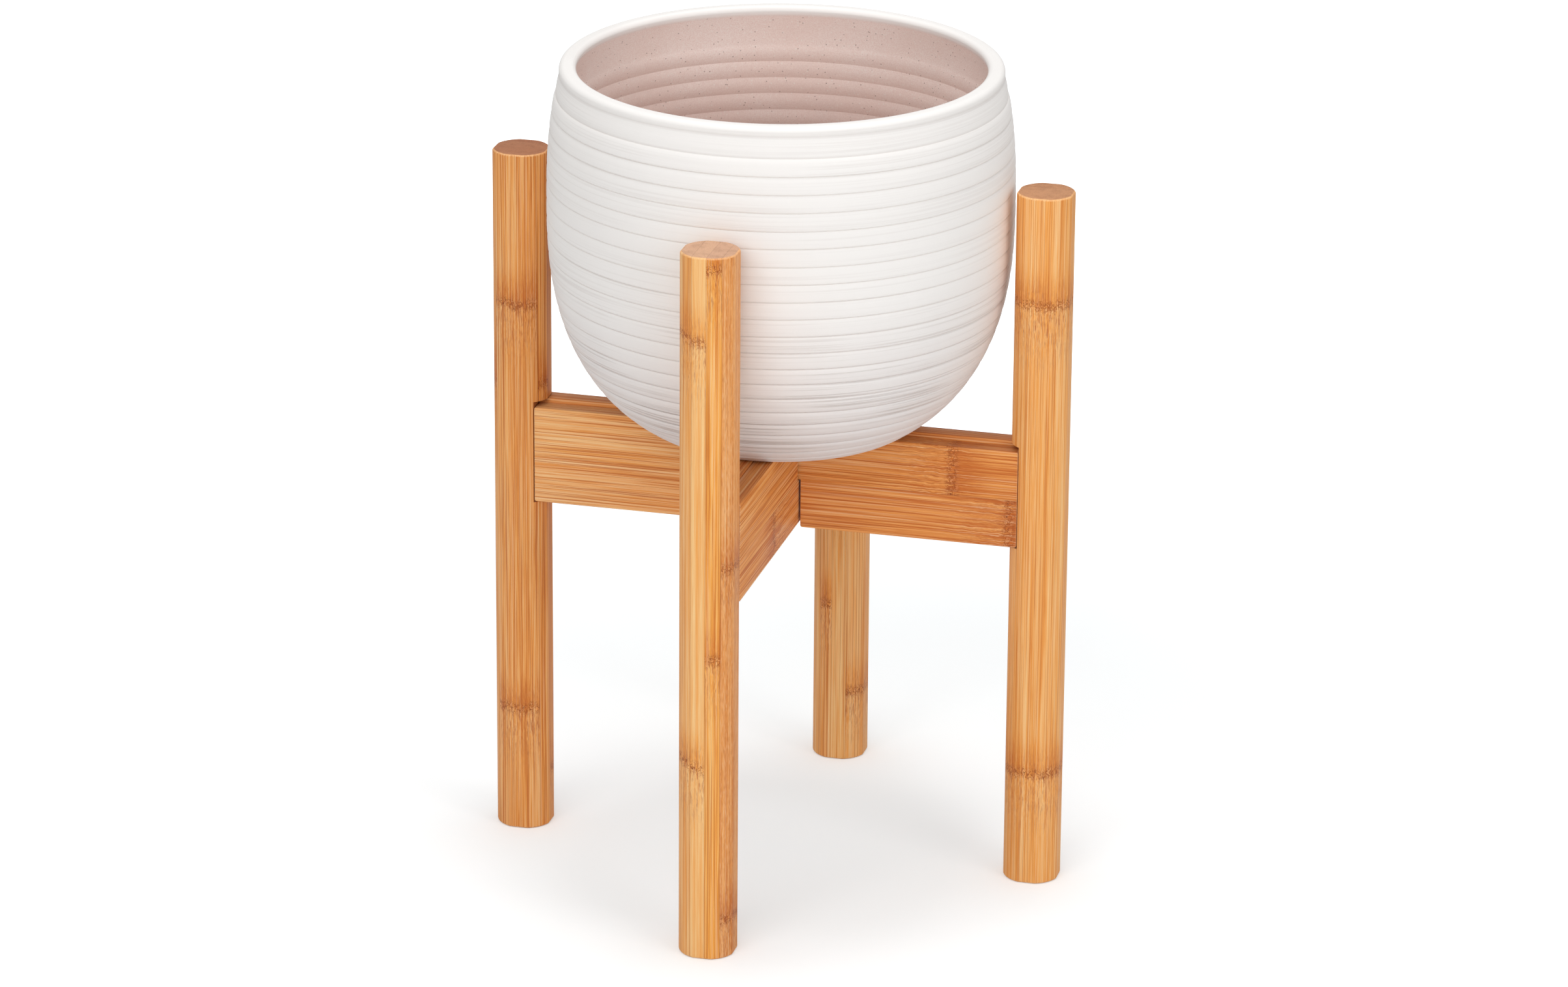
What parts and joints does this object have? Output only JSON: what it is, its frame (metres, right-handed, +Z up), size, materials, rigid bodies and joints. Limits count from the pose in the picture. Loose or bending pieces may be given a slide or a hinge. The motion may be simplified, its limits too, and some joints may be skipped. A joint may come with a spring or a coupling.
{
  "type": "plant stand",
  "caption": "Bamboo plant stand with upright dowel legs on a sliding cross-bar frame that widens, holding a removable ribbed ceramic pot.",
  "frame": {"origin": "on the floor, midway between the legs, with the cross bars pushed in", "axes": "+X to the right-hand leg, +Y to the back leg, +Z up"},
  "size_m": [0.3056, 0.3056, 0.4312],
  "materials": {
    "leg_bamboo": "satin carbonised bamboo, vertical grain with joint marks",
    "slat_bamboo": "satin carbonised bamboo, grain along the slat, darker lines",
    "dowel_beech": "raw beech, hidden in the joint",
    "clamp_steel": "bright zinc plate",
    "planter_clay": "matt off-white outside with turned rings, taupe pink clay inside"
  },
  "bodies": {
    "centre_clamp": {"clamp_screw": "clamp_steel", "clamp_washer_lower": "clamp_steel", "clamp_washer_upper": "clamp_steel", "clamp_nut": "clamp_steel"},
    "right_unit": {"right_leg": "leg_bamboo", "right_slat": "slat_bamboo", "right_dowel_lower": "dowel_beech", "right_dowel_upper": "dowel_beech"},
    "back_unit": {"back_leg": "leg_bamboo", "back_slat": "slat_bamboo", "back_dowel_lower": "dowel_beech", "back_dowel_upper": "dowel_beech"},
    "left_unit": {"left_leg": "leg_bamboo", "left_slat": "slat_bamboo", "left_dowel_lower": "dowel_beech", "left_dowel_upper": "dowel_beech"},
    "front_unit": {"front_leg": "leg_bamboo", "front_slat": "slat_bamboo", "front_dowel_lower": "dowel_beech", "front_dowel_upper": "dowel_beech"},
    "pot": {"planter": "planter_clay"}
  },
  "joints": [
    {"name": "right_leg_slide", "type": "slide", "parent": "centre_clamp", "child": "right_unit", "axis": [1, 0, 0], "range_m": [0, 0.03]},
    {"name": "back_leg_slide", "type": "slide", "parent": "centre_clamp", "child": "back_unit", "axis": [0, 1, 0], "range_m": [0, 0.03]},
    {"name": "left_leg_slide", "type": "slide", "parent": "centre_clamp", "child": "left_unit", "axis": [-1, 0, 0], "range_m": [0, 0.03]},
    {"name": "front_leg_slide", "type": "slide", "parent": "centre_clamp", "child": "front_unit", "axis": [0, -1, 0], "range_m": [0, 0.03]},
    {"name": "planter_lift", "type": "slide", "parent": "centre_clamp", "child": "pot", "axis": [0, 0, 1], "range_m": [0, 0.15]}
  ]
}
